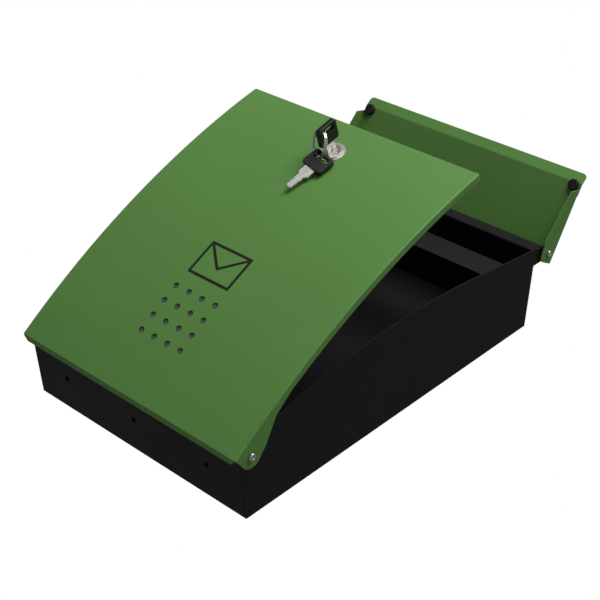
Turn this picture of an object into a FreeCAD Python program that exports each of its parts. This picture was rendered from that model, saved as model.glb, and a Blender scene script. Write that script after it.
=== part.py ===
import FreeCAD, Part
import math
import os

V = FreeCAD.Vector

# Wall mounted mailbox, millimetres.
# +X to the right seen from the front, +Y into the wall, +Z up.
# Origin: centre of the four wall-mount holes, on the rear face of the back plate.

SHEET = 1.0                 # sheet steel thickness
BODY_W = 250.0              # outside width across the side walls
Z_BOTTOM = -180.0           # rear lower edge of the box
Z_TOP = 173.0               # rear upper edge of the box
BOTTOM_SLOPE = 0.045        # fall of the bottom wall towards the front
TOP_SLOPE = 0.135           # rise of the top wall towards the front
BOTTOM_DEPTH = 57.0         # front edge of the bottom wall
TOP_DEPTH = 74.0            # front face of the hinge strip
STRIP_TOP_Z = 194.0         # upper edge of the hinge strip
SEAM = 0.3                  # joint gap between neighbouring body panels

MOUNT_X = 170.0             # wall-mount hole spacing across
MOUNT_Z = 240.0             # wall-mount hole spacing up
MOUNT_R = 3.0               # wall-mount hole radius
DRAIN_X = 85.0              # outer drain holes from the centre line
DRAIN_Y = -32.0             # drain holes from the wall
DRAIN_R = 2.6               # drain hole radius

BAR_Z0 = 108.0              # cross bar lower edge
BAR_Z1 = 138.0              # cross bar upper edge
BAR_Y0 = -84.0              # cross bar face at its lower edge
BAR_Y1 = -81.2              # cross bar face at its upper edge
BAR_FLANGE = 10.0           # flange along the bar's upper edge

WALL_BEND_Z = 123.0         # side wall: upper end of its curved front edge
WALL_FOOT_Z = -172.0        # lower end of that edge
WALL_TOE_Y = -61.5          # front corner of its lower edge
WALL_SHOULDER_Z = 184.0     # foot of the hinge tab
TAB_R = 7.4                 # rounded hinge tab
TAB_BACK = 0.9              # tab centre in front of the flap's axis

DOOR_AXIS_Y = -58.3         # door rivet axis
DOOR_AXIS_Z = -173.7
DOOR_AJAR = 20.8            # degrees the door stands open
DOOR_HALF_W = 128.0         # half width over the side flanges
DOOR_R = 765.0              # outside radius of the curved panel
DOOR_CY = 671.4             # centre of that radius, door closed
DOOR_CZ = 7.4
DOOR_LOW = -14.72           # arc angles of the bottom and top edges, degrees
DOOR_HIGH = 8.59
FLANGE_W = 6.5              # side flange width
EAR_R = 10.5                # radius of the door ear round its rivet
EAR_TOP_Z = -118.0          # where the ear grows out of the side flange, door shut
EAR_EDGE = ((-70.0, -139.5), (-65.3, -145.5), (-54.6, -158.5))      # rear edge of the ear
EAR_LEAN = 33.0             # degrees; where the rounded end starts
LIP_L = 5.5                 # bottom lip length
LIP_CORNER = 4.0            # clipped corners of the bottom lip
DOOR_CORNER = 2.0           # rounding of the door's upper corners
LIP_FALL = 20.8             # bottom lip below horizontal, door closed

HOLE_PITCH = 15.3           # vent holes
HOLE_R = 2.8
HOLE_ARC = 51.5             # lowest vent row above the bottom edge, along the arc
BACKING_MARGIN = 9.0        # plate behind the vents: beyond the outer hole centres
BACKING_T = 0.8
SYMBOL_W = 47.0             # envelope symbol
SYMBOL_H = 34.0
SYMBOL_ARC = 130.0          # its centre above the bottom edge, along the arc
SYMBOL_LINE = 2.4
SYMBOL_T = 0.15

LOCK_ARC = 273.1            # lock axis above the bottom edge, along the arc
BEZEL_R = 12.0              # foot of the lock's bezel
BEZEL_STEP = 0.7            # height of that foot
BEZEL_CONE_R = 11.2         # conical part above it, at its foot
BEZEL_FACE_R = 9.6          # and at its face
BEZEL_H = 2.2
BARREL_R = 8.5
BARREL_L = 16.0
PLUG_R = 6.3
CAM_L = 33.0
CAM_W = 15.0
CAM_T = 2.0
CAM_CRANK = 11.4            # forward crank that brings the tongue up behind the cross bar
CAM_BEND0 = 14.5            # where the crank starts and ends along the cam
CAM_BEND1 = 20.5
PLUG_FACE_R = 7.9           # face of the plug in its recess
PLUG_FACE_H = 0.9
STUB_W = 6.4                # square stub under the cam
NUT_R = 12.7                # lock nut over its corners
NUT_H = 4.0
NUT_TOP = 1.3               # nut below the door's outer face
SCREW_R = 1.9               # cam screw
SCREW_HEAD_R = 4.6
SCREW_HEAD_H = 2.4
CROSS_L = 2.4               # half length and half width of its cross recess
CROSS_W = 0.45
SCREW_DEPTH = -15.2         # top of its thread
KEYWAY_END = -14.8          # bottom of the keyway

FLAP_AXIS_Y = -66.0         # flap rivet axis
FLAP_AXIS_Z = 198.5
FLAP_REST = -123.5          # flap angle from hanging straight down, degrees
FLAP_IN = 9.7               # inside face of the flap in front of its axis
FLAP_UP = 8.4               # flap plate above its axis when hanging
FLAP_DOWN = 67.5            # flap plate below its axis
FLAP_EAR_END = 58.2         # where the flap's ears end
FLAP_BROW = (7.6, -9.4)     # upper rear corner of an ear: towards the wall, below the axis
FLAP_REAR = (12.2, 8.3)     # its rearmost corner
FLAP_EAR_EDGE = ((8.0, 30.5), (5.0, 46.0))
FLAP_EAR_TIP = 2.1          # depth of the ear at its end
FLAP_EAR_TAPER = 4.5        # slant of the ear's end towards the plate
FLAP_LIP = 10.0             # finger lip length
FLAP_CORNER_R = 5.0         # rounded rear corners of an ear
FLAP_FLARE = 20.0           # finger lip flare, degrees
BUMPER_R = 5.4              # rubber stops
BUMPER_H = 3.2
BUMPER_X = 121.0
BUMPER_S = 64.5

RIVET_R = 2.5
RIVET_GAP = 0.06            # running clearance round a rivet
DOOR_HEAD_R = 3.5           # rivet heads
FLAP_HEAD_R = 3.2
HEAD_H = 2.0
DIMPLE_R = 1.6              # dimple in a rivet head
EAR_IN = 127.0              # inside face of the door and flap ears

KEY_W = 21.6                # key heads
KEY_H = 18.5
KEY_T = 4.6
KEY_SLOT0 = 2.6             # ring slot below the head's top
KEY_SLOT1 = 8.4
KEY_SLOT_W = 14.6
BLADE_L = 25.4              # key shank below its head
BLADE_T = 2.2
SHOULDER_L = 8.7
SHOULDER_W = 10.4
BLADE_W = 7.2               # cut blade at its shoulder
TIP_W = 5.2                 # and at its tip
TIP_L = 1.6
KEY_A_FOOT = 11.2           # foot of key A's head above the door face
KEY_ROOT = 5.0              # shank held inside the head
KEY_CUTS = (0.7, 0.3, 0.8, 0.4, 0.6)
CUT_STEP = 2.6              # spacing of the cuts
BORE_PLAY = 0.05            # play of a part held in a hole
STEEL_BEND = 1.5            # outside radius of the folded sheet
WALL_R = DOOR_R - 1.6       # side wall front edges, concentric with the closed door

RING_R = 12.0               # key ring, mean radius of its two coils
RING_WIRE = 0.8
RING_COIL = 0.75            # half spacing of the coils
RING_UP = -3.43             # where the ring hangs in key A, up the door from the lock
RING_OUT = 25.4             # and outwards from the door
RING_TURN = 28.1            # turn of the ring's plane, degrees
RING_LEAN = 29.9            # lean of the ring towards the door's foot, degrees
KEY_B_POS = (5.16, -10.90, 6.60)    # head of key B: across, up the door, outwards
KEY_B_YAW = -7.5
KEY_B_PITCH = 5.0
KEY_B_ROLL = 14.0


def box(x0, x1, y0, y1, z0, z1):
    return Part.makeBox(x1 - x0, y1 - y0, z1 - z0, V(x0, y0, z0))


def disc(x, y, z0, z1, radius):
    return Part.makeCylinder(radius, z1 - z0, V(x, y, z0))


def cross_rod(y, z, x0, x1, radius):
    return Part.makeCylinder(radius, x1 - x0, V(x0, y, z), V(1, 0, 0))


def side_line(points):
    """Straight edges through (y, z) points in the plane X = 0."""
    return Part.makePolygon([V(0, y, z) for y, z in points]).Edges


def side_prism(edges, x0, x1):
    """The closed side outline, extruded across the box."""
    face = Part.Face(Part.Wire(Part.__sortEdges__(edges)))
    face.translate(V(x0, 0, 0))
    return face.extrude(V(x1 - x0, 0, 0))


def edges_where(shape, test):
    """Edges whose two ends both pass the test."""
    found = []
    for edge in shape.Edges:
        ends = edge.Vertexes
        if len(ends) == 2 and all(test(v.Point) for v in ends):
            found.append(edge)
    return found


def door_point(radius, degrees):
    """(y, z) on a circle about the closed door's centre of curvature."""
    a = math.radians(degrees)
    return (DOOR_CY - radius * math.cos(a), DOOR_CZ + radius * math.sin(a))


def door_y(radius, z):
    """Depth of that circle at a height."""
    return DOOR_CY - math.sqrt(radius ** 2 - (z - DOOR_CZ) ** 2)


def door_arc(radius, low, high):
    """The arc between two angles."""
    ends = [door_point(radius, a) for a in (low, (low + high) / 2, high)]
    return Part.Arc(*[V(0, y, z) for y, z in ends]).toShape()


def angle_at(radius, z):
    return math.degrees(math.asin((z - DOOR_CZ) / radius))


def ajar(shape):
    """Swings a door piece from shut to its resting pose."""
    out = shape.copy()
    out.rotate(V(0, DOOR_AXIS_Y, DOOR_AXIS_Z), V(1, 0, 0), DOOR_AJAR)
    return out


def on_shut_door(shape, arc):
    """Carries a piece drawn flat, Z outwards, to a height along the shut door."""
    angle = DOOR_LOW + math.degrees(arc / DOOR_R)
    y, z = door_point(DOOR_R, angle)
    out = shape.copy()
    out.rotate(V(0, 0, 0), V(1, 0, 0), 90 - angle)
    out.translate(V(0, y, z))
    return out


def at_lock(shape):
    return ajar(on_shut_door(shape, LOCK_ARC))


def lifted(shape):
    """Swings a flap piece from hanging to its resting pose."""
    out = shape.copy()
    out.rotate(V(0, FLAP_AXIS_Y, FLAP_AXIS_Z), V(1, 0, 0), FLAP_REST)
    return out


def bottom_z(y):
    return Z_BOTTOM + BOTTOM_SLOPE * y


def top_z(y):
    return Z_TOP - TOP_SLOPE * y


def back_plate():
    plate = box(-BODY_W / 2, BODY_W / 2, -SHEET, 0, Z_BOTTOM, Z_TOP)
    for x in (-MOUNT_X / 2, MOUNT_X / 2):
        for z in (-MOUNT_Z / 2, MOUNT_Z / 2):
            hole = Part.makeCylinder(MOUNT_R, 3 * SHEET, V(x, -2 * SHEET, z), V(0, 1, 0))
            plate = plate.cut(hole)
    return plate


def side_wall(side):
    rear = -SHEET - SEAM
    tab_mid = FLAP_AXIS_Y - TAB_BACK
    tab_z = FLAP_AXIS_Z + 0.1
    front_low = (door_y(WALL_R, WALL_FOOT_Z), WALL_FOOT_Z)
    bend = (door_y(WALL_R, WALL_BEND_Z), WALL_BEND_Z)
    shoulder = (tab_mid - TAB_R - 1.7, WALL_SHOULDER_Z)
    tab_front = (tab_mid - TAB_R, WALL_SHOULDER_Z + 2)
    tab_back = (tab_mid + TAB_R, top_z(tab_mid + TAB_R))
    toe = (WALL_TOE_Y, bottom_z(WALL_TOE_Y))
    lines = side_line([front_low, toe, (rear, bottom_z(rear)), (rear, top_z(rear)), tab_back,
                       (tab_mid + TAB_R, tab_z)])
    lines += side_line([(tab_mid - TAB_R, tab_z), tab_front, shoulder, bend])
    crown = Part.Arc(V(0, tab_mid + TAB_R, tab_z), V(0, tab_mid, tab_z + TAB_R),
                     V(0, tab_mid - TAB_R, tab_z)).toShape()
    front = door_arc(WALL_R, angle_at(WALL_R, WALL_FOOT_Z), angle_at(WALL_R, WALL_BEND_Z))
    x0 = BODY_W / 2 - SHEET
    wall = side_prism(lines + [crown, front], x0, BODY_W / 2)
    for y, z in ((DOOR_AXIS_Y, DOOR_AXIS_Z), (FLAP_AXIS_Y, FLAP_AXIS_Z)):
        wall = wall.cut(cross_rod(y, z, x0 - 1, x0 + 2, RIVET_R + BORE_PLAY))
    if side < 0:
        wall = wall.mirror(V(0, 0, 0), V(1, 0, 0))
    return wall


def bottom_wall():
    half = BODY_W / 2 - SHEET - SEAM
    rear = -SHEET - SEAM
    front = -BOTTOM_DEPTH
    outline = [(rear, bottom_z(rear)), (front, bottom_z(front)), (front, bottom_z(front) + SHEET),
               (rear, bottom_z(rear) + SHEET), (rear, bottom_z(rear))]
    wall = side_prism(side_line(outline), -half, half)
    for x in (-DRAIN_X, 0, DRAIN_X):
        wall = wall.cut(disc(x, DRAIN_Y, Z_BOTTOM - 10, Z_BOTTOM + 10, DRAIN_R))
    return wall


def top_wall():
    """Sloping top with the hinge strip folded up along its front."""
    half = BODY_W / 2 - SHEET - SEAM
    rear = -SHEET - SEAM
    front = -TOP_DEPTH - 0.3
    back = front + SHEET
    outline = [(rear, top_z(rear)), (back, top_z(back)), (back, STRIP_TOP_Z), (front, STRIP_TOP_Z),
               (front, top_z(front) - SHEET), (rear, top_z(rear) - SHEET), (rear, top_z(rear))]
    wall = side_prism(side_line(outline), -half, half)
    outer = edges_where(wall, lambda p: abs(p.y - front) < 0.01 and p.z < STRIP_TOP_Z - SHEET)
    wall = wall.makeFillet(SHEET + STEEL_BEND / 2, outer)
    inner = edges_where(wall, lambda p: abs(p.y - back) < 0.01 and abs(p.z - top_z(back)) < 0.01)
    return wall.makeFillet(STEEL_BEND / 2, inner)


def bar_front(z):
    """Depth of the cross bar's face, parallel to the side walls' front edges."""
    share = (z - BAR_Z0) / (BAR_Z1 - BAR_Z0)
    return BAR_Y0 + share * (BAR_Y1 - BAR_Y0)


def cross_bar():
    half = BODY_W / 2 - SHEET - SEAM
    y0 = bar_front(BAR_Z0)
    y1 = bar_front(BAR_Z1)
    outline = [(y0, BAR_Z0), (y1, BAR_Z1), (y1 + BAR_FLANGE, BAR_Z1), (y1 + BAR_FLANGE, BAR_Z1 - SHEET),
               (y1 + SHEET, BAR_Z1 - SHEET), (y0 + SHEET, BAR_Z0), (y0, BAR_Z0)]
    bar = side_prism(side_line(outline), -half, half)
    fold = edges_where(bar, lambda p: abs(p.y - y1) < 0.01 and abs(p.z - BAR_Z1) < 0.01)
    return bar.makeFillet(STEEL_BEND, fold)


def rivet_pair(y, z, head_r):
    """A dimpled rivet through each ear and side wall, with a spacer collar between them."""
    wall_in = BODY_W / 2 - SHEET
    wall_out = BODY_W / 2
    ear_out = EAR_IN + SHEET
    rivet = cross_rod(y, z, wall_in - 1.0, ear_out + 1.0, RIVET_R)
    rivet = rivet.fuse(cross_rod(y, z, wall_in - 1.2, wall_in - BORE_PLAY, head_r))
    rivet = rivet.fuse(cross_rod(y, z, wall_out + BORE_PLAY, EAR_IN - SEAM, head_r))
    rim = ear_out + SEAM + HEAD_H
    head = cross_rod(y, z, ear_out + SEAM, rim, head_r)
    head = head.makeFillet(1.2, [e for e in head.Edges if abs(e.CenterOfMass.x - rim) < 0.01])
    dimple = Part.makeSphere(DIMPLE_R, V(rim + 0.7, y, z))
    rivet = rivet.fuse(head).cut(dimple)
    return Part.makeCompound([rivet, rivet.mirror(V(0, 0, 0), V(1, 0, 0))])


def around(centre, radius, degrees):
    """(y, z) at a distance from a centre, degrees up from +Y."""
    a = math.radians(degrees)
    return (centre[0] + radius * math.cos(a), centre[1] + radius * math.sin(a))


def door_outline():
    """Side of the shut door: the long arc, the side flange and the rounded ear."""
    ear_top = angle_at(DOOR_R - FLANGE_W, EAR_TOP_Z)
    top_in = door_point(DOOR_R - FLANGE_W, DOOR_HIGH)
    flange_foot = door_point(DOOR_R - FLANGE_W, ear_top)
    foot = door_point(DOOR_R, DOOR_LOW)
    centre = (DOOR_AXIS_Y, DOOR_AXIS_Z)
    heel = (centre[0], centre[1] - EAR_R)
    brow = around(centre, EAR_R, EAR_LEAN)
    mid = around(centre, EAR_R, -EAR_LEAN)
    lines = side_line([door_point(DOOR_R, DOOR_HIGH), top_in])
    lines += [door_arc(DOOR_R - FLANGE_W, ear_top, DOOR_HIGH)]
    lines += side_line([flange_foot, *EAR_EDGE, brow])
    lines += [Part.Arc(V(0, *brow), V(0, *mid), V(0, *heel)).toShape()]
    lines += side_line([heel, foot])
    return lines + [door_arc(DOOR_R, DOOR_LOW, DOOR_HIGH)]


def bottom_lip():
    y, z = door_point(DOOR_R, DOOR_LOW)
    a = math.radians(LIP_FALL)
    along = (math.cos(a), -math.sin(a))
    up = (math.sin(a), math.cos(a))
    tip = (y + LIP_L * along[0], z + LIP_L * along[1])
    outline = [(y, z), tip, (tip[0] + SHEET * up[0], tip[1] + SHEET * up[1]),
               (y + SHEET * up[0] + 0.5, z + SHEET * up[1]), (y, z)]
    half = EAR_IN - 0.5
    lip = side_prism(side_line(outline), -half, half)
    ends = [e for e in lip.Edges if abs(e.Length - SHEET) < 0.01 and e.CenterOfMass.y > y + LIP_L / 2]
    return lip.makeChamfer(LIP_CORNER, ends)


def door_panel():
    """Curved front with side flanges and ears, a lip along its foot, vents and the lock hole."""
    door = side_prism(door_outline(), -DOOR_HALF_W, DOOR_HALF_W)
    top_z_shut = door_point(DOOR_R, DOOR_HIGH)[1]
    corners = edges_where(door, lambda p: p.z > top_z_shut - 2)
    corners = [e for e in corners if abs(e.Length - FLANGE_W) < 0.01]
    door = door.makeFillet(DOOR_CORNER, corners)
    long_edges = edges_where(door, lambda p: abs(math.hypot(p.y - DOOR_CY, p.z - DOOR_CZ) - DOOR_R) < 0.01)
    long_edges = [e for e in long_edges if e.Length > DOOR_HALF_W * 2 + 10]
    door = door.makeFillet(STEEL_BEND, long_edges)
    door = door.cut(cross_rod(DOOR_CY, DOOR_CZ, -EAR_IN, EAR_IN, DOOR_R - SHEET))
    door = door.fuse(bottom_lip())
    for row in range(4):
        for column in range(4):
            x = (column - 1.5) * HOLE_PITCH
            vent = on_shut_door(disc(x, 0, -5, 5, HOLE_R), HOLE_ARC + row * HOLE_PITCH)
            door = door.cut(vent)
    door = door.cut(on_shut_door(disc(0, 0, -5, 5, BARREL_R + BORE_PLAY), LOCK_ARC))
    door = door.cut(cross_rod(DOOR_AXIS_Y, DOOR_AXIS_Z, -DOOR_HALF_W - 1, DOOR_HALF_W + 1,
                              RIVET_R + RIVET_GAP))
    return ajar(door)


def shell(x, arc0, arc1, outer, inner):
    """A piece of curved sheet in the shut door's curvature."""
    low = DOOR_LOW + math.degrees(arc0 / DOOR_R)
    high = DOOR_LOW + math.degrees(arc1 / DOOR_R)
    lines = [door_arc(outer, low, high), door_arc(inner, low, high)]
    lines += side_line([door_point(outer, low), door_point(inner, low)])
    lines += side_line([door_point(outer, high), door_point(inner, high)])
    return side_prism(lines, -x, x)


def vent_backing():
    """Thin plate behind the vents that keeps rain and insects out."""
    outer = DOOR_R - SHEET - 0.1
    reach = 1.5 * HOLE_PITCH + BACKING_MARGIN
    top = HOLE_ARC + 3 * HOLE_PITCH + BACKING_MARGIN
    return ajar(shell(reach, HOLE_ARC - BACKING_MARGIN, top, outer, outer - BACKING_T))


def bar_between(x0, y0, x1, y1, width):
    """A flat stroke from one point to the other, standing on the plane Z = 0."""
    length = math.hypot(x1 - x0, y1 - y0)
    stroke = Part.makeBox(length, width, 4, V(0, -width / 2, -2))
    stroke = stroke.fuse(disc(0, 0, -2, 2, width / 2)).fuse(disc(length, 0, -2, 2, width / 2))
    stroke.rotate(V(0, 0, 0), V(0, 0, 1), math.degrees(math.atan2(y1 - y0, x1 - x0)))
    stroke.translate(V(x0, y0, 0))
    return stroke


def envelope_symbol():
    """Printed outline of an envelope: a frame and the two folds of its flap."""
    x = SYMBOL_W / 2 - SYMBOL_LINE / 2
    y = SYMBOL_H / 2 - SYMBOL_LINE / 2
    fold = -0.12 * SYMBOL_H
    ends = [(-x, -y, x, -y), (x, -y, x, y), (x, y, -x, y), (-x, y, -x, -y),
            (-x, y, 0, fold), (0, fold, x, y)]
    strokes = [bar_between(*line, SYMBOL_LINE) for line in ends]
    flat = strokes[0].multiFuse(strokes[1:])
    skin = shell(SYMBOL_W, SYMBOL_ARC - SYMBOL_H, SYMBOL_ARC + SYMBOL_H, DOOR_R + SYMBOL_T, DOOR_R)
    return ajar(skin.common(on_shut_door(flat, SYMBOL_ARC)))


def lock_housing():
    """Stepped, conical bezel and threaded barrel of the cam lock."""
    bezel = disc(0, 0, 0, BEZEL_STEP, BEZEL_R)
    bezel = bezel.fuse(Part.makeCone(BEZEL_CONE_R, BEZEL_FACE_R, BEZEL_H, V(0, 0, 0)))
    housing = bezel.fuse(disc(0, 0, -BARREL_L, 0, BARREL_R))
    housing = housing.cut(disc(0, 0, -BARREL_L, BEZEL_H, PLUG_R + RIVET_GAP))
    housing = housing.cut(disc(0, 0, BEZEL_H - PLUG_FACE_H, BEZEL_H, PLUG_FACE_R + RIVET_GAP))
    return at_lock(housing)


def lock_nut():
    """Hexagon nut that clamps the barrel to the door."""
    points = []
    for i in range(7):
        a = math.radians(60 * i)
        points.append(V(NUT_R * math.cos(a), NUT_R * math.sin(a), -NUT_TOP - NUT_H))
    nut = Part.Face(Part.makePolygon(points)).extrude(V(0, 0, NUT_H))
    return at_lock(nut.cut(disc(0, 0, -20, 0, BARREL_R + BORE_PLAY)))


def lock_plug():
    """Turning core with the keyway, and a square stub for the cam."""
    end = -BARREL_L - 0.5
    face_z = BEZEL_H - PLUG_FACE_H + RIVET_GAP
    plug = disc(0, 0, end, face_z, PLUG_R)
    plug = plug.fuse(disc(0, 0, face_z, BEZEL_H - 0.2, PLUG_FACE_R))
    stub = STUB_W / 2
    plug = plug.fuse(box(-stub, stub, -stub, stub, end - CAM_T - 0.2, end))
    play = 0.15
    half_t = BLADE_T / 2 + play
    half_w = BLADE_W / 2 + play
    plug = plug.cut(box(-half_t, half_t, -half_w, half_w, KEYWAY_END, BEZEL_H))
    return at_lock(plug.cut(disc(0, 0, -25, SCREW_DEPTH, SCREW_R + BORE_PLAY)))


def lock_cam():
    """Cranked tongue, pointing sideways while the lock is open."""
    top = -BARREL_L - 0.5 - 0.1
    high = top + CAM_CRANK
    points = [(-CAM_W / 2, top), (CAM_BEND0, top), (CAM_BEND1, high), (CAM_L, high),
              (CAM_L, high - CAM_T), (CAM_BEND1 + 0.8, high - CAM_T),
              (CAM_BEND0 + 0.8, top - CAM_T), (-CAM_W / 2, top - CAM_T), (-CAM_W / 2, top)]
    side = Part.Face(Part.makePolygon([V(x, -CAM_W / 2, z) for x, z in points]))
    cam = side.extrude(V(0, CAM_W, 0))
    ends = []
    for x in (CAM_L, -CAM_W / 2):
        ends += [e for e in cam.Edges if abs(e.CenterOfMass.x - x) < 0.01 and abs(e.Length - CAM_T) < 0.01]
    cam = cam.makeFillet(CAM_W * 0.4, ends)
    half = STUB_W / 2 + BORE_PLAY
    return at_lock(cam.cut(box(-half, half, -half, half, -30, 0)))


def cam_screw():
    """Pan-head screw that holds the cam on its stub."""
    under = -BARREL_L - 0.5 - CAM_T - 0.3
    head = disc(0, 0, under - SCREW_HEAD_H, under, SCREW_HEAD_R)
    rim = [e for e in head.Edges if abs(e.CenterOfMass.z - under + SCREW_HEAD_H) < 0.01]
    head = head.makeFillet(1.0, rim)
    screw = head.fuse(disc(0, 0, under, SCREW_DEPTH - 0.3, SCREW_R))
    for half_x, half_y in ((CROSS_L, CROSS_W), (CROSS_W, CROSS_L)):
        screw = screw.cut(box(-half_x, half_x, -half_y, half_y, under - 3, under - SCREW_HEAD_H / 2))
    return at_lock(screw)


def key_head():
    """Moulded bow of a key, hanging down from the origin, with a slot for the ring."""
    head = box(-KEY_W / 2, KEY_W / 2, -KEY_H, 0, -KEY_T / 2, KEY_T / 2)
    corners = [e for e in head.Edges if abs(e.Length - KEY_T) < 0.01]
    head = head.makeFillet(3.0, corners)
    rims = [e for e in head.Edges if abs(abs(e.CenterOfMass.z) - KEY_T / 2) < 0.01]
    head = head.makeFillet(0.8, rims)
    slot = box(-KEY_SLOT_W / 2, KEY_SLOT_W / 2, -KEY_SLOT1, -KEY_SLOT0, -5, 5)
    slot = slot.makeFillet(1.6, [e for e in slot.Edges if abs(e.Length - 10) < 0.01])
    socket = box(-SHOULDER_W / 2 - BORE_PLAY, SHOULDER_W / 2 + BORE_PLAY, -KEY_H - 1, -KEY_H + KEY_ROOT,
                 -BLADE_T / 2 - BORE_PLAY, BLADE_T / 2 + BORE_PLAY)
    return head.cut(slot).cut(socket)


def key_blade():
    """Flat shank below the bow: a broad shoulder, then the cut and grooved blade."""
    half = BLADE_T / 2
    top = -KEY_H
    step = top - SHOULDER_L
    tip = top - BLADE_L
    shank = box(-SHOULDER_W / 2, SHOULDER_W / 2, step, top + KEY_ROOT - 0.1, -half, half)
    side_points = [(BLADE_W / 2, step + 0.5), (TIP_W / 2, tip + TIP_L), (TIP_W / 2 - TIP_L, tip)]
    outline = side_points + [(-x, y) for x, y in reversed(side_points)] + side_points[:1]
    blade = Part.Face(Part.makePolygon([V(x, y, -half) for x, y in outline])).extrude(V(0, 0, BLADE_T))
    blade = shank.fuse(blade)
    narrowing = (BLADE_W - TIP_W) / 2 / (step - tip - TIP_L)
    for i, depth in enumerate(KEY_CUTS):
        y = step - CUT_STEP * (i + 1)
        edge = BLADE_W / 2 - narrowing * (step - y)
        notch = [V(edge + 1, y - 1.6, -2), V(edge - depth, y - 0.5, -2), V(edge - depth, y + 0.5, -2),
                 V(edge + 1, y + 1.6, -2), V(edge + 1, y - 1.6, -2)]
        cut = Part.Face(Part.makePolygon(notch)).extrude(V(0, 0, 4))
        blade = blade.cut(cut).cut(cut.mirror(V(0, 0, 0), V(1, 0, 0)))
    groove = box(-0.7, 0.7, tip + TIP_L, step + 4, half - 0.4, half + 1)
    return blade.cut(groove).cut(groove.mirror(V(0, 0, 0), V(0, 0, 1)))


def key_a(shape):
    """In the lock: shank into the door, broad faces sideways."""
    out = shape.copy()
    out.rotate(V(0, 0, 0), V(1, 0, 0), 90)
    out.rotate(V(0, 0, 0), V(0, 0, 1), 90)
    out.translate(V(0, 0, KEY_A_FOOT + KEY_H))
    return at_lock(out)


def key_b(shape):
    """Hanging from the ring, almost flat along the door."""
    out = shape.copy()
    out.rotate(V(0, 0, 0), V(0, 1, 0), KEY_B_ROLL)
    out.rotate(V(0, 0, 0), V(1, 0, 0), KEY_B_PITCH)
    out.rotate(V(0, 0, 0), V(0, 0, 1), KEY_B_YAW)
    out.translate(V(*KEY_B_POS))
    return at_lock(out)


def key_ring():
    """Split ring: two coils of wire side by side, through both bows."""
    turn = math.radians(RING_TURN)
    lean = math.radians(RING_LEAN)
    across = V(math.cos(turn), -math.sin(turn), 0)
    down = V(0, -math.sin(lean), -math.cos(lean))
    down = down - across * down.dot(across)
    down.normalize()
    axis = across.cross(down)
    centre = V(0, RING_UP, RING_OUT) + down * RING_R
    coils = [Part.makeTorus(RING_R, RING_WIRE, centre + axis * k, axis) for k in (-RING_COIL, RING_COIL)]
    return at_lock(coils[0].fuse(coils[1]))


def flap_point(d, s):
    """(y, z) from distances towards the wall and down from the flap's axis."""
    return (FLAP_AXIS_Y + d, FLAP_AXIS_Z - s)


def flap_panel():
    """Slot cover with two ears, a flared finger lip and soft folds, drawn hanging down."""
    out = -FLAP_IN - SHEET
    ear = [(out, -FLAP_UP), FLAP_BROW, FLAP_REAR, *FLAP_EAR_EDGE, (FLAP_EAR_TIP, FLAP_EAR_END),
           (out, FLAP_EAR_END + FLAP_EAR_TAPER), (out, -FLAP_UP)]
    flap = side_prism(side_line([flap_point(d, s) for d, s in ear]), -DOOR_HALF_W, DOOR_HALF_W)
    corner = [e for e in flap.Edges if abs(e.Length - 2 * DOOR_HALF_W) < 0.01]
    rounded = []
    for y, z in (flap_point(*FLAP_BROW), flap_point(*FLAP_REAR)):
        rounded += [e for e in corner if math.hypot(e.CenterOfMass.y - y, e.CenterOfMass.z - z) < 0.01]
    flap = flap.makeFillet(FLAP_CORNER_R, rounded)
    fold = edges_where(flap, lambda p: abs(p.y - FLAP_AXIS_Y - out) < 0.01)
    fold = [e for e in fold if e.Length < 2 * DOOR_HALF_W - 1]
    flap = flap.makeFillet(STEEL_BEND, fold)
    y_in = FLAP_AXIS_Y - FLAP_IN
    flap = flap.cut(box(-EAR_IN, EAR_IN, y_in, y_in + 60, FLAP_AXIS_Z - 100, FLAP_AXIS_Z + 30))
    flap = flap.fuse(flap_lip())
    flap = flap.cut(cross_rod(FLAP_AXIS_Y, FLAP_AXIS_Z, -DOOR_HALF_W - 1, DOOR_HALF_W + 1,
                              RIVET_R + RIVET_GAP))
    return lifted(flap)


def flap_lip():
    """Finger lip along the flap's lower edge, flared away from the door."""
    a = math.radians(FLAP_FLARE)
    out = -FLAP_IN - SHEET
    run = (-math.sin(a), math.cos(a))
    side = (math.cos(a), math.sin(a))
    tip = (out + FLAP_LIP * run[0], FLAP_DOWN + FLAP_LIP * run[1])
    inner = (tip[0] + SHEET * side[0], tip[1] + SHEET * side[1])
    bend = (-FLAP_IN, FLAP_DOWN + SHEET * math.tan(a / 2))
    root = FLAP_EAR_END - 2
    path = [(out, root), (out, FLAP_DOWN), tip, inner, bend, (-FLAP_IN, root), (out, root)]
    half = DOOR_HALF_W
    lip = side_prism(side_line([flap_point(d, s) for d, s in path]), -half, half)
    z_bend = FLAP_AXIS_Z - FLAP_DOWN
    bends = [e for e in lip.Edges if abs(e.Length - 2 * half) < 0.01
             and abs(e.CenterOfMass.z - z_bend) < 0.3]
    lip = lip.makeFillet(3.0, bends)
    z_tip = FLAP_AXIS_Z - tip[1]
    ends = [e for e in lip.Edges if abs(e.Length - SHEET) < 0.01 and e.CenterOfMass.z < z_tip + 1]
    return lip.makeFillet(4.0, ends)


def flap_bumpers():
    """Rubber stops inside the flap's free corners."""
    y_in = FLAP_AXIS_Y - FLAP_IN
    z = FLAP_AXIS_Z - BUMPER_S
    stops = []
    for x in (-BUMPER_X, BUMPER_X):
        stop = Part.makeCylinder(BUMPER_R, BUMPER_H, V(x, y_in, z), V(0, 1, 0))
        rim = [e for e in stop.Edges if abs(e.CenterOfMass.y - y_in - BUMPER_H) < 0.01]
        stops.append(lifted(stop.makeFillet(1.0, rim)))
    return Part.makeCompound(stops)


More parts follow.
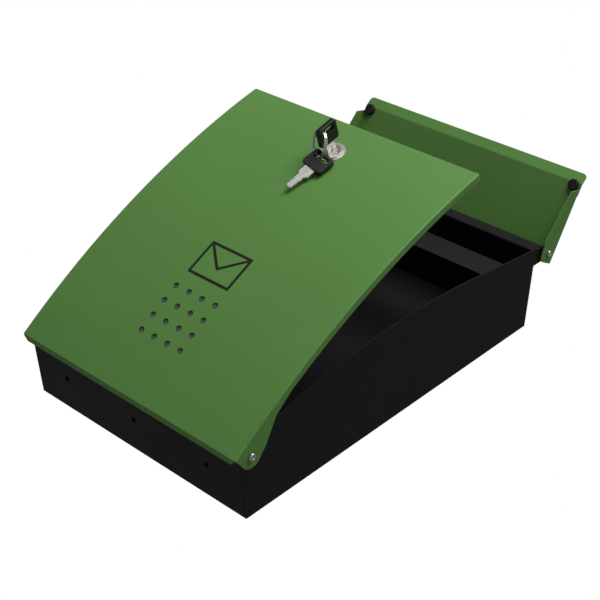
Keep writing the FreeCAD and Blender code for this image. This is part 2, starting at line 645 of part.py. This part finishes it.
def nodes():
    return {
        "back_plate": back_plate(),
        "side_wall_left": side_wall(-1),
        "side_wall_right": side_wall(1),
        "bottom_wall": bottom_wall(),
        "top_wall": top_wall(),
        "cross_bar": cross_bar(),
        "door_rivets": rivet_pair(DOOR_AXIS_Y, DOOR_AXIS_Z, DOOR_HEAD_R),
        "flap_rivets": rivet_pair(FLAP_AXIS_Y, FLAP_AXIS_Z, FLAP_HEAD_R),
        "door_panel": door_panel(),
        "vent_backing": vent_backing(),
        "envelope_symbol": envelope_symbol(),
        "lock_housing": lock_housing(),
        "lock_nut": lock_nut(),
        "lock_plug": lock_plug(),
        "lock_cam": lock_cam(),
        "cam_screw": cam_screw(),
        "key_a_head": key_a(key_head()),
        "key_a_blade": key_a(key_blade()),
        "key_ring": key_ring(),
        "key_b_head": key_b(key_head()),
        "key_b_blade": key_b(key_blade()),
        "flap_panel": flap_panel(),
        "flap_bumpers": flap_bumpers(),
    }


os.makedirs("parts", exist_ok=True)
for name, shape in nodes().items():
    shape.exportStep("parts/" + name + ".step")
    print(name, shape.isValid(), len(shape.Solids), round(shape.Volume, 1))
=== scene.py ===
import math

import bpy
from mathutils import Matrix, Vector

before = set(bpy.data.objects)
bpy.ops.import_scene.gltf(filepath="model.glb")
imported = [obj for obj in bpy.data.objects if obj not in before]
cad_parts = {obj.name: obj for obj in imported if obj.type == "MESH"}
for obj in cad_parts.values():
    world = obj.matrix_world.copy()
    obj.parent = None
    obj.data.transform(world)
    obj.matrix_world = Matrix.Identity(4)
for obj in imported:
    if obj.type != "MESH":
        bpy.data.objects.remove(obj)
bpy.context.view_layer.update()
scene = bpy.context.scene
scene.view_settings.view_transform = "Standard"

# ---------------------------------------------------------------- viewing angle

CAMERA_AZIMUTH = 47.72      # degrees round from the front, towards the right
CAMERA_ELEVATION = -36.65   # degrees; below the box, looking up
CAMERA_ROLL = 59.54         # degrees about the line of sight
CAMERA_AIM = Vector((-0.0192, -0.0353, 0.0310))     # metres, near the middle of the object
CAMERA_DISTANCE = 1.304     # metres
CAMERA_LENS = 87.57         # millimetres
CAMERA_SENSOR = 36.0        # millimetres
CAMERA_NEAR = 0.05          # metres
CAMERA_FAR = 30.0           # metres


def direction(azimuth, elevation):
    """Unit vector from the object towards a viewer at these angles, in degrees."""
    a = math.radians(azimuth)
    e = math.radians(elevation)
    return Vector((math.sin(a) * math.cos(e), -math.cos(a) * math.cos(e), math.sin(e)))


def add_camera():
    data = bpy.data.cameras.new("view_camera")
    data.lens = CAMERA_LENS
    data.sensor_width = CAMERA_SENSOR
    data.clip_start = CAMERA_NEAR
    data.clip_end = CAMERA_FAR
    camera = bpy.data.objects.new("view_camera", data)
    scene.collection.objects.link(camera)
    back = direction(CAMERA_AZIMUTH, CAMERA_ELEVATION)
    right = Vector((0, 0, 1)).cross(back).normalized()
    up = back.cross(right)
    roll = Matrix.Rotation(math.radians(CAMERA_ROLL), 3, "Z")
    turn = Matrix((right, up, back)).transposed() @ roll
    camera.matrix_world = Matrix.Translation(CAMERA_AIM + CAMERA_DISTANCE * back) @ turn.to_4x4()
    scene.camera = camera


# ---------------------------------------------------------------- light and floor

LIGHT_DISTANCE = 2.2        # metres from CAMERA_AIM to each soft box
SKY = 1.0                   # strength of the world where the camera looks at it
AMBIENT = 0.17              # strength of the world as light on the object
WHITE = (1.0, 1.0, 1.0)
FLOOR_DROP = 3.0            # metres below the origin
FLOOR_HALF = 40.0           # half of the floor's side, metres
FLOOR_GLOW = 0.9            # emission of the floor where the camera looks at it


def soft_light(name, azimuth, elevation, size, watts):
    """A square soft box that faces the middle of the object."""
    data = bpy.data.lights.new(name, "AREA")
    data.shape = "SQUARE"
    data.size = size
    data.energy = watts
    light = bpy.data.objects.new(name, data)
    scene.collection.objects.link(light)
    back = direction(azimuth, elevation)
    light.location = CAMERA_AIM + LIGHT_DISTANCE * back
    light.rotation_euler = back.to_track_quat("Z", "Y").to_euler()


def add_lights():
    """A broad light from the front, a weak one from the right, and one from behind on the left."""
    soft_light("key_light", azimuth=14.0, elevation=22.0, size=1.4, watts=52.0)
    soft_light("fill_light", azimuth=62.0, elevation=0.0, size=1.6, watts=4.0)
    soft_light("rim_light", azimuth=-130.0, elevation=35.0, size=1.2, watts=10.0)


def background(nodes, strength):
    node = nodes.new("ShaderNodeBackground")
    node.inputs["Color"].default_value = (*WHITE, 1.0)
    node.inputs["Strength"].default_value = strength
    return node.outputs["Background"]


def add_world():
    """White to the eye, and a dimmer even light on the object."""
    world = bpy.data.worlds.new("studio")
    scene.world = world
    world.use_nodes = True
    nodes = world.node_tree.nodes
    links = world.node_tree.links
    nodes.clear()
    path = nodes.new("ShaderNodeLightPath")
    mix = nodes.new("ShaderNodeMixShader")
    out = nodes.new("ShaderNodeOutputWorld")
    links.new(path.outputs["Is Camera Ray"], mix.inputs["Fac"])
    links.new(background(nodes, AMBIENT), mix.inputs[1])
    links.new(background(nodes, SKY), mix.inputs[2])
    links.new(mix.outputs["Shader"], out.inputs["Surface"])


def add_floor():
    mesh = bpy.data.meshes.new("floor")
    signs = ((-1, -1), (1, -1), (1, 1), (-1, 1))
    corners = [(x * FLOOR_HALF, y * FLOOR_HALF, -FLOOR_DROP) for x, y in signs]
    mesh.from_pydata(corners, [], [(0, 1, 2, 3)])
    floor = bpy.data.objects.new("floor", mesh)
    scene.collection.objects.link(floor)
    mesh.materials.append(plain_floor())


# ---------------------------------------------------------------- material helpers

def material(name):
    """A new material with one Principled shader: (material, tree, shader)."""
    mat = bpy.data.materials.new(name)
    mat.use_nodes = True
    tree = mat.node_tree
    shader = tree.nodes["Principled BSDF"]
    return mat, tree, shader


def place(tree):
    """Coordinates fixed to the piece, in metres."""
    return tree.nodes.new("ShaderNodeTexCoord").outputs["Object"]


def stretched(tree, vector, scale):
    """The coordinates scaled per axis, for grain that runs one way."""
    node = tree.nodes.new("ShaderNodeMapping")
    node.inputs["Scale"].default_value = scale
    tree.links.new(vector, node.inputs["Vector"])
    return node.outputs["Vector"]


def noise(tree, vector, scale, detail=3.0, rough=0.5):
    node = tree.nodes.new("ShaderNodeTexNoise")
    node.inputs["Scale"].default_value = scale
    node.inputs["Detail"].default_value = detail
    node.inputs["Roughness"].default_value = rough
    tree.links.new(vector, node.inputs["Vector"])
    return node.outputs["Fac"]


def remap(tree, value, low=0.0, high=1.0, start=0.3, end=0.7):
    """Low where the value is at start, high where it is at end, and even in between."""
    node = tree.nodes.new("ShaderNodeMapRange")
    node.inputs["From Min"].default_value = start
    node.inputs["From Max"].default_value = end
    node.inputs["To Min"].default_value = low
    node.inputs["To Max"].default_value = high
    tree.links.new(value, node.inputs["Value"])
    return node.outputs["Result"]


def two_colours(tree, factor, first, second):
    """The first colour at factor 0 and the second at 1; each is a tuple or a socket."""
    node = tree.nodes.new("ShaderNodeMix")
    node.data_type = "RGBA"
    tree.links.new(factor, node.inputs["Factor"])
    for value, socket in ((first, node.inputs[6]), (second, node.inputs[7])):
        if isinstance(value, tuple):
            socket.default_value = (*value, 1.0)
        else:
            tree.links.new(value, socket)
    return node.outputs[2]


def shade(colour, factor):
    return tuple(c * factor for c in colour)


def soft_edges(tree, radius):
    """The surface direction, eased over outer edges as a thick coat eases them."""
    node = tree.nodes.new("ShaderNodeBevel")
    node.samples = 4
    node.inputs["Radius"].default_value = radius
    return node.outputs["Normal"]


def bump(tree, shader, height, strength, distance, before):
    """Relief laid over the surface direction before it, which may be relief already."""
    node = tree.nodes.new("ShaderNodeBump")
    node.inputs["Strength"].default_value = strength
    node.inputs["Distance"].default_value = distance
    tree.links.new(height, node.inputs["Height"])
    tree.links.new(before, node.inputs["Normal"])
    tree.links.new(node.outputs["Normal"], shader.inputs["Normal"])
    return node.outputs["Normal"]


# ---------------------------------------------------------------- kinds of finish

DUST = (0.30, 0.31, 0.28)
SCUFF = (0.09, 0.09, 0.09)
PLASTIC_GLOSS = 0.35        # specular level of plastic and rubber
COAT_EDGE = 0.0006          # radius that a finish seems to give an edge, metres
METAL_EDGE = 0.0003
PLASTIC_EDGE = 0.0004


def powder_coat(name, colour, gloss, roughness=0.5, dust=0.05, wear=0.10):
    """Satin powder coat: fine orange peel, faint mottling, sparse dust and rubbed streaks."""
    mat, tree, shader = material(name)
    where = place(tree)
    mottle = remap(tree, noise(tree, where, scale=9.0, detail=4.0))
    tone = two_colours(tree, mottle, shade(colour, 0.94), shade(colour, 1.05))
    grain = remap(tree, noise(tree, where, scale=1500.0, detail=2.0), start=0.35, end=0.65)
    speckled = two_colours(tree, grain, tone, shade(colour, 1.12))
    specks = noise(tree, where, scale=900.0, detail=1.0, rough=0.4)
    specks = remap(tree, specks, high=dust, start=0.76, end=0.82)
    dusty = two_colours(tree, specks, speckled, DUST)
    streaks = noise(tree, stretched(tree, where, (14.0, 60.0, 60.0)), scale=3.0, detail=6.0, rough=0.7)
    streaks = remap(tree, streaks, high=wear, start=0.66, end=0.82)
    rubbed = two_colours(tree, streaks, dusty, shade(colour, 1.5))
    tree.links.new(rubbed, shader.inputs["Base Color"])
    shader.inputs["Specular IOR Level"].default_value = gloss
    haze = noise(tree, where, scale=26.0, detail=5.0, rough=0.6)
    haze = remap(tree, haze, low=roughness - 0.05, high=roughness + 0.06)
    tree.links.new(haze, shader.inputs["Roughness"])
    peel = noise(tree, where, scale=420.0, detail=3.0, rough=0.55)
    peel = bump(tree, shader, peel, strength=0.10, distance=0.0004, before=soft_edges(tree, COAT_EDGE))
    grit = noise(tree, where, scale=1700.0, detail=2.0)
    bump(tree, shader, grit, strength=0.06, distance=0.0002, before=peel)
    return mat


def bright_metal(name, colour, roughness, grain, scratches, tarnish, metallic=1.0):
    """Bare or plated metal with fine grain, handling marks and uneven polish; hazy below metallic 1."""
    mat, tree, shader = material(name)
    where = place(tree)
    shader.inputs["Metallic"].default_value = metallic
    cloud = remap(tree, noise(tree, where, scale=160.0, detail=4.0))
    tone = two_colours(tree, cloud, shade(colour, 0.88), colour)
    dull = noise(tree, where, scale=420.0, detail=5.0, rough=0.7)
    dull = remap(tree, dull, high=tarnish, start=0.6, end=0.8)
    tree.links.new(two_colours(tree, dull, tone, shade(colour, 0.5)), shader.inputs["Base Color"])
    lines = noise(tree, stretched(tree, where, grain), scale=1.0, detail=4.0, rough=0.6)
    polish = remap(tree, lines, low=roughness * 0.8, high=roughness * 1.3)
    tree.links.new(polish, shader.inputs["Roughness"])
    bump(tree, shader, lines, scratches, distance=0.00005, before=soft_edges(tree, METAL_EDGE))
    return mat


def moulded(name, colour, roughness, peel_scale, relief):
    """Moulded plastic or rubber: fine texture, a few scuffs, uneven gloss."""
    mat, tree, shader = material(name)
    where = place(tree)
    patches = remap(tree, noise(tree, where, scale=240.0, detail=4.0))
    tone = two_colours(tree, patches, shade(colour, 0.85), shade(colour, 1.25))
    scuffs = noise(tree, stretched(tree, where, (900.0, 300.0, 300.0)), scale=1.0, detail=5.0, rough=0.7)
    scuffs = remap(tree, scuffs, high=0.5, start=0.66, end=0.8)
    tree.links.new(two_colours(tree, scuffs, tone, SCUFF), shader.inputs["Base Color"])
    shader.inputs["Specular IOR Level"].default_value = PLASTIC_GLOSS
    haze = noise(tree, where, scale=300.0, detail=4.0)
    haze = remap(tree, haze, low=roughness - 0.06, high=roughness + 0.08)
    tree.links.new(haze, shader.inputs["Roughness"])
    peel = noise(tree, where, peel_scale)
    bump(tree, shader, peel, relief, distance=0.00015, before=soft_edges(tree, PLASTIC_EDGE))
    return mat


def plain_floor():
    """Pale to the eye, without throwing much light back up at the object."""
    mat, tree, shader = material("floor_paint")
    patches = remap(tree, noise(tree, place(tree), scale=2.0))
    tone = two_colours(tree, patches, (0.80, 0.80, 0.79), (0.84, 0.84, 0.83))
    tree.links.new(tone, shader.inputs["Base Color"])
    tree.links.new(tone, shader.inputs["Emission Color"])
    path = tree.nodes.new("ShaderNodeLightPath")
    glow = remap(tree, path.outputs["Is Camera Ray"], high=FLOOR_GLOW, start=0.0, end=1.0)
    tree.links.new(glow, shader.inputs["Emission Strength"])
    shader.inputs["Roughness"].default_value = 0.8
    return mat


# ---------------------------------------------------------------- finishes, piece by piece

GREEN = (0.094, 0.225, 0.052)
BLACK = (0.0056, 0.0056, 0.0058)
INK = (0.008, 0.009, 0.008)
BLACK_PLASTIC = (0.008, 0.008, 0.009)
BACKING_GREY = (0.072, 0.078, 0.072)
CHROME = (0.72, 0.72, 0.71)
NICKEL = (0.74, 0.73, 0.69)
RING_STEEL = (0.62, 0.61, 0.58)
RIVET_STEEL = (0.66, 0.65, 0.63)
PLUG_ALLOY = (0.50, 0.48, 0.42)
ZINC = (0.50, 0.50, 0.48)


def paint(finish, *nodes):
    for node in nodes:
        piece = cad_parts[node]
        piece.data.materials.clear()
        piece.data.materials.append(finish)


def dress_sheet_metal():
    """The black box, the green door and flap, and the rivets that they turn on."""
    black = powder_coat("black_powder_coat", BLACK, gloss=0.2)
    paint(black, "back_plate", "side_wall_left", "side_wall_right", "bottom_wall", "top_wall", "cross_bar")
    green = powder_coat("green_powder_coat", GREEN, gloss=0.3)
    paint(green, "door_panel", "flap_panel")
    rivet = bright_metal("rivet_metal", RIVET_STEEL, roughness=0.26, grain=(900, 900, 900),
                         scratches=0.10, tarnish=0.2)
    paint(rivet, "door_rivets", "flap_rivets")


def dress_fittings():
    """The sheet behind the vents, the printed envelope and the rubber bumpers."""
    backing = moulded("backing_sheet", BACKING_GREY, roughness=0.6, peel_scale=1500.0, relief=0.1)
    paint(backing, "vent_backing")
    ink = moulded("print_black", INK, roughness=0.55, peel_scale=1800.0, relief=0.08)
    paint(ink, "envelope_symbol")
    rubber = moulded("bumper_rubber", BLACK_PLASTIC, roughness=0.6, peel_scale=1200.0, relief=0.2)
    paint(rubber, "flap_bumpers")


def dress_lock():
    """The chromed bezel, the plug, and the zinc plated parts behind the door."""
    chrome = bright_metal("lock_chrome", CHROME, roughness=0.27, grain=(300, 300, 300),
                          scratches=0.005, tarnish=0.05, metallic=0.7)
    paint(chrome, "lock_housing")
    plug = bright_metal("plug_metal", PLUG_ALLOY, roughness=0.36, grain=(500, 500, 500),
                        scratches=0.06, tarnish=0.6, metallic=0.8)
    paint(plug, "lock_plug")
    zinc = bright_metal("zinc_plate", ZINC, roughness=0.36, grain=(900, 250, 250),
                        scratches=0.12, tarnish=0.35)
    paint(zinc, "lock_nut", "lock_cam", "cam_screw")


def dress_keys():
    """Two keys with black plastic heads, on a steel ring."""
    head = moulded("key_plastic", BLACK_PLASTIC, roughness=0.40, peel_scale=900.0, relief=0.12)
    paint(head, "key_a_head", "key_b_head")
    blade = bright_metal("key_nickel", NICKEL, roughness=0.30, grain=(250, 1400, 1400),
                         scratches=0.04, tarnish=0.15, metallic=0.65)
    paint(blade, "key_a_blade", "key_b_blade")
    ring = bright_metal("ring_steel", RING_STEEL, roughness=0.22, grain=(700, 700, 700),
                        scratches=0.03, tarnish=0.25, metallic=0.8)
    paint(ring, "key_ring")


dress_sheet_metal()
dress_fittings()
dress_lock()
dress_keys()
add_camera()
add_world()
add_lights()
add_floor()
